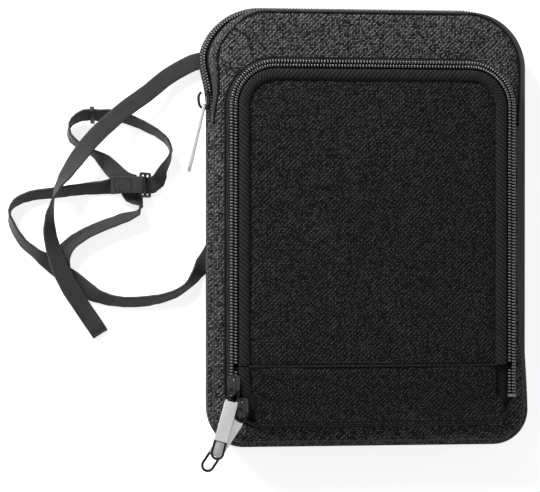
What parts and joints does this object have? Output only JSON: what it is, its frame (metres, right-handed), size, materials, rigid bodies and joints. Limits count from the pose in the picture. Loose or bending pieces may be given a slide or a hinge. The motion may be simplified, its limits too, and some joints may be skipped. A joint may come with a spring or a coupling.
{
  "type": "neck pouch wallet",
  "caption": "Flat fabric neck pouch with a gusseted zipped main compartment, a raised zipped front pocket, metal pull tabs and a thin webbing neck strap laid beside it",
  "frame": {"origin": "middle of the back cushion's flat face, on the surface that the pouch lies on", "axes": "+X across the pouch to the right as seen from the front, +Y along it towards the top edge, +Z out of its front"},
  "size_m": [0.2438, 0.2134, 0.0446],
  "materials": {
    "shell_fabric": "charcoal woven polyester with a fine twill, matt",
    "panel_fabric": "darker charcoal woven polyester, matt",
    "ribbed_band": "charcoal fabric band with slanting ribs",
    "back_mesh": "padded charcoal spacer mesh",
    "lining": "thin smooth dark grey nylon",
    "zip_tape": "black knitted zip tape",
    "coil_metal": "dark nickel toned coil",
    "slider_metal": "black nickel plated zinc",
    "tab_metal": "satin light metal face with dark edges",
    "webbing": "dark grey woven webbing",
    "black_plastic": "black moulded acetal"
  },
  "bodies": {
    "pouch": {"back_pad": "back_mesh", "back_panel": "shell_fabric", "back_lining": "lining", "slip_pocket": "lining", "lower_gusset": "shell_fabric", "rear_gusset_band": "shell_fabric", "front_gusset_band": "shell_fabric", "main_tape_rear": "zip_tape", "main_tape_front": "zip_tape", "main_coil_rear": "coil_metal", "main_coil_front": "coil_metal", "main_zip_stops": "coil_metal", "front_lining": "lining", "front_panel": "shell_fabric", "card_slots": "lining", "pocket_wall": "shell_fabric", "pocket_tape_outer": "zip_tape", "pocket_coil_outer": "coil_metal", "lower_panel": "panel_fabric", "lower_welt": "ribbed_band", "lower_tape": "zip_tape", "lower_coil": "coil_metal", "pocket_zip_stops": "coil_metal", "strap_anchor_left": "webbing", "strap_anchor_right": "webbing", "strap_short": "webbing", "strap_long": "webbing", "strap_adjuster": "black_plastic", "strap_fold": "webbing", "strap_keeper": "black_plastic"},
    "flap": {"flap_panel": "panel_fabric", "flap_welt": "ribbed_band", "flap_tape": "zip_tape", "flap_coil": "coil_metal"},
    "main_slider_body": {"main_slider": "slider_metal"},
    "main_pull_body": {"main_pull_tab": "tab_metal"},
    "upper_slider_body": {"pocket_slider_upper": "slider_metal"},
    "upper_pull_body": {"pocket_pull_upper": "tab_metal"},
    "lower_slider_body": {"pocket_slider_lower": "slider_metal"},
    "lower_pull_body": {"pocket_pull_lower": "tab_metal"}
  },
  "joints": [
    {"name": "pocket_flap_fold", "type": "hinge", "parent": "pouch", "child": "flap", "pos_m": [0, -0.064, 0.0362], "axis": [1, 0, 0], "range_deg": [0, 110]},
    {"name": "main_slider_slide", "type": "slide", "parent": "pouch", "child": "main_slider_body", "axis": [0, 1, 0], "range_m": [-0.006, 0.003]},
    {"name": "main_pull_swing", "type": "hinge", "parent": "main_slider_body", "child": "main_pull_body", "pos_m": [-0.0771, 0.05665, 0.0141], "axis": [0, 0, -1], "range_deg": [-10, 80]},
    {"name": "upper_slider_slide", "type": "slide", "parent": "pouch", "child": "upper_slider_body", "axis": [0, 1, 0], "range_m": [0, 0.093]},
    {"name": "upper_pull_lift", "type": "hinge", "parent": "upper_slider_body", "child": "upper_pull_body", "pos_m": [-0.0644, -0.07495, 0.0381], "axis": [-0.9613, 0.2706, -0.0526], "range_deg": [0, 80]},
    {"name": "lower_slider_slide", "type": "slide", "parent": "pouch", "child": "lower_slider_body", "axis": [0.1045, -0.9945, 0], "range_m": [-0.0005, 0.0004]},
    {"name": "lower_pull_swing", "type": "hinge", "parent": "lower_slider_body", "child": "lower_pull_body", "pos_m": [-0.06029, -0.08438, 0.0381], "axis": [0, 0, 1], "range_deg": [0, 42]}
  ]
}
